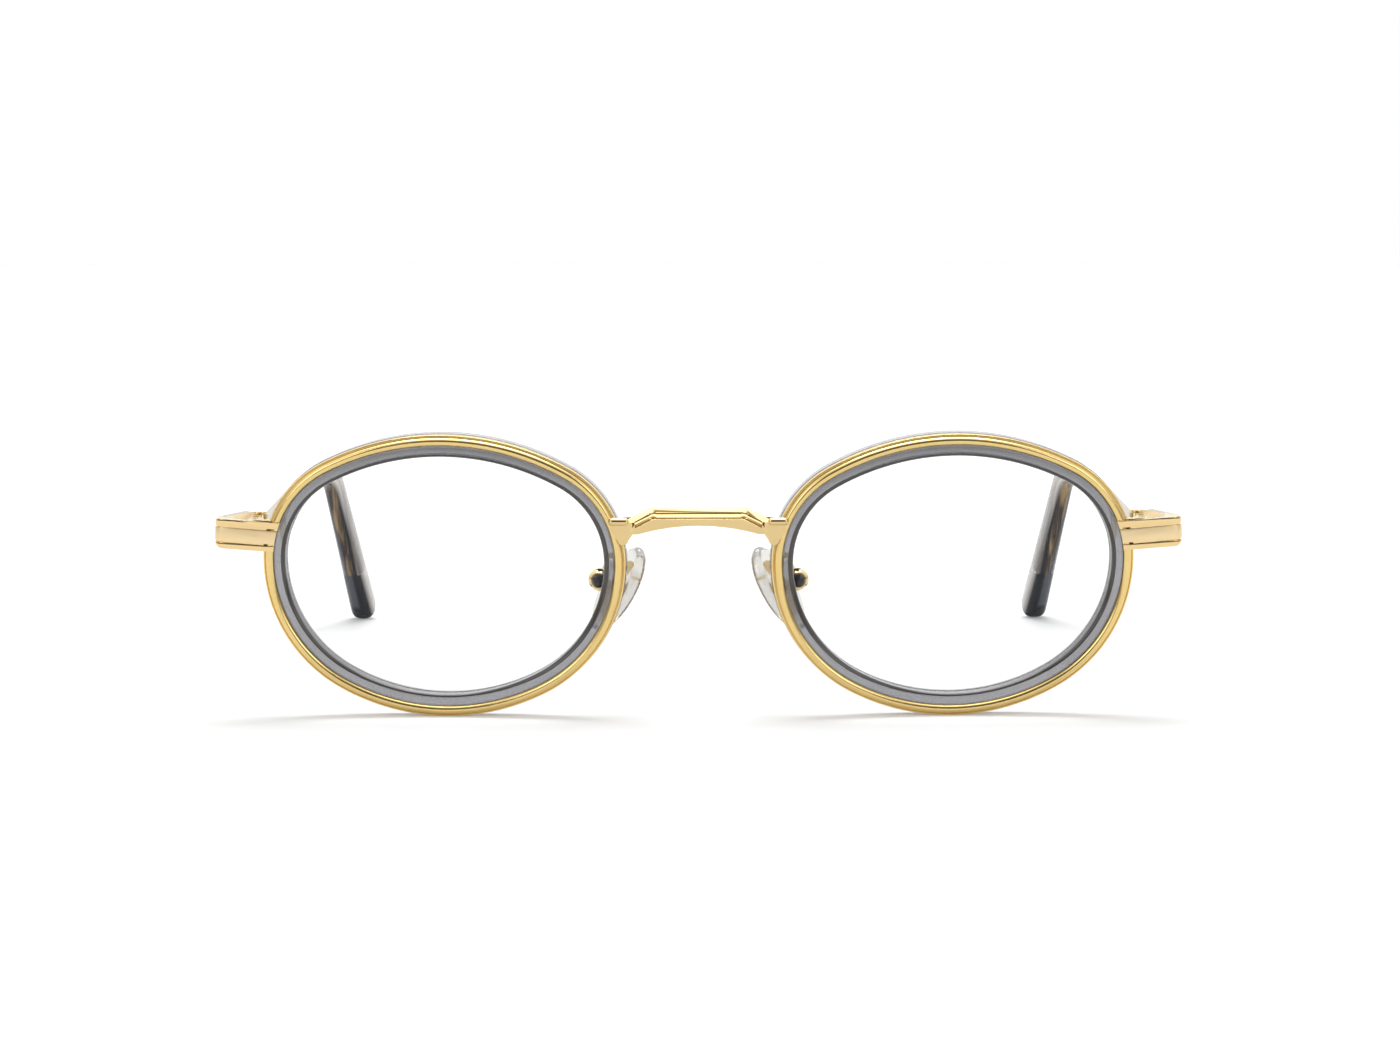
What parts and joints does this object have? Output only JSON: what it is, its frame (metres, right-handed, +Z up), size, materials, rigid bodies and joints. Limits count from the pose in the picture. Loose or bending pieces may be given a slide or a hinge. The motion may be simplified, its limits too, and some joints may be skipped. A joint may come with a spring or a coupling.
{
  "type": "combination eyeglass frame",
  "caption": "Oval combination eyeglass frame: gold metal rims over grey acetate rings, clear lenses, folding temples with horn-coloured tips and rocking nose pads.",
  "frame": {"origin": "on the table under the middle of the frame's length and width, with the temples open", "axes": "+X towards the wearer's left, -Y to the front, +Y along the temples to the back, +Z up"},
  "size_m": [0.1356, 0.1421, 0.04],
  "materials": {
    "polished_gold": "pale yellow gold, polished",
    "satin_gold": "pale yellow gold, satin sides with polished borders",
    "screw_gold": "gold, turned",
    "grey_acetate": "translucent grey acetate, polished",
    "horn_acetate": "smoke and horn acetate, polished, translucent over its metal core",
    "clear_lens": "clear, polished",
    "clear_silicone": "clear silicone, smooth"
  },
  "bodies": {
    "front": {"bridge": "polished_gold", "left_rim": "polished_gold", "left_inner_ring": "grey_acetate", "left_lens": "clear_lens", "left_closing_block_upper": "polished_gold", "left_closing_block_lower": "polished_gold", "left_closing_screw": "screw_gold", "left_end_piece": "satin_gold", "left_front_hinge": "polished_gold", "left_hinge_screw": "screw_gold", "left_pad_arm": "polished_gold", "left_pad_box": "polished_gold", "left_pad_screw": "screw_gold", "right_rim": "polished_gold", "right_inner_ring": "grey_acetate", "right_lens": "clear_lens", "right_closing_block_upper": "polished_gold", "right_closing_block_lower": "polished_gold", "right_closing_screw": "screw_gold", "right_end_piece": "satin_gold", "right_front_hinge": "polished_gold", "right_hinge_screw": "screw_gold", "right_pad_arm": "polished_gold", "right_pad_box": "polished_gold", "right_pad_screw": "screw_gold"},
    "left_temple": {"left_temple_hinge": "polished_gold", "left_temple_arm": "polished_gold", "left_temple_tip": "horn_acetate"},
    "left_pad": {"left_nose_pad": "clear_silicone", "left_pad_core": "polished_gold"},
    "right_temple": {"right_temple_hinge": "polished_gold", "right_temple_arm": "polished_gold", "right_temple_tip": "horn_acetate"},
    "right_pad": {"right_nose_pad": "clear_silicone", "right_pad_core": "polished_gold"}
  },
  "joints": [
    {"name": "left_temple_fold", "type": "hinge", "parent": "front", "child": "left_temple", "pos_m": [0.0626, -0.05479, 0.0253], "axis": [0, 0, 1], "range_deg": [0, 90]},
    {"name": "right_temple_fold", "type": "hinge", "parent": "front", "child": "right_temple", "pos_m": [-0.0626, -0.05479, 0.0253], "axis": [0, 0, -1], "range_deg": [0, 84]},
    {"name": "left_pad_rock", "type": "hinge", "parent": "front", "child": "left_pad", "pos_m": [0.01397, -0.06219, 0.01884], "axis": [0.4086, 0.8636, 0.2952], "range_deg": [-8, 8]},
    {"name": "right_pad_rock", "type": "hinge", "parent": "front", "child": "right_pad", "pos_m": [-0.01397, -0.06219, 0.01884], "axis": [-0.4086, 0.8636, 0.2952], "range_deg": [-8, 8]}
  ]
}
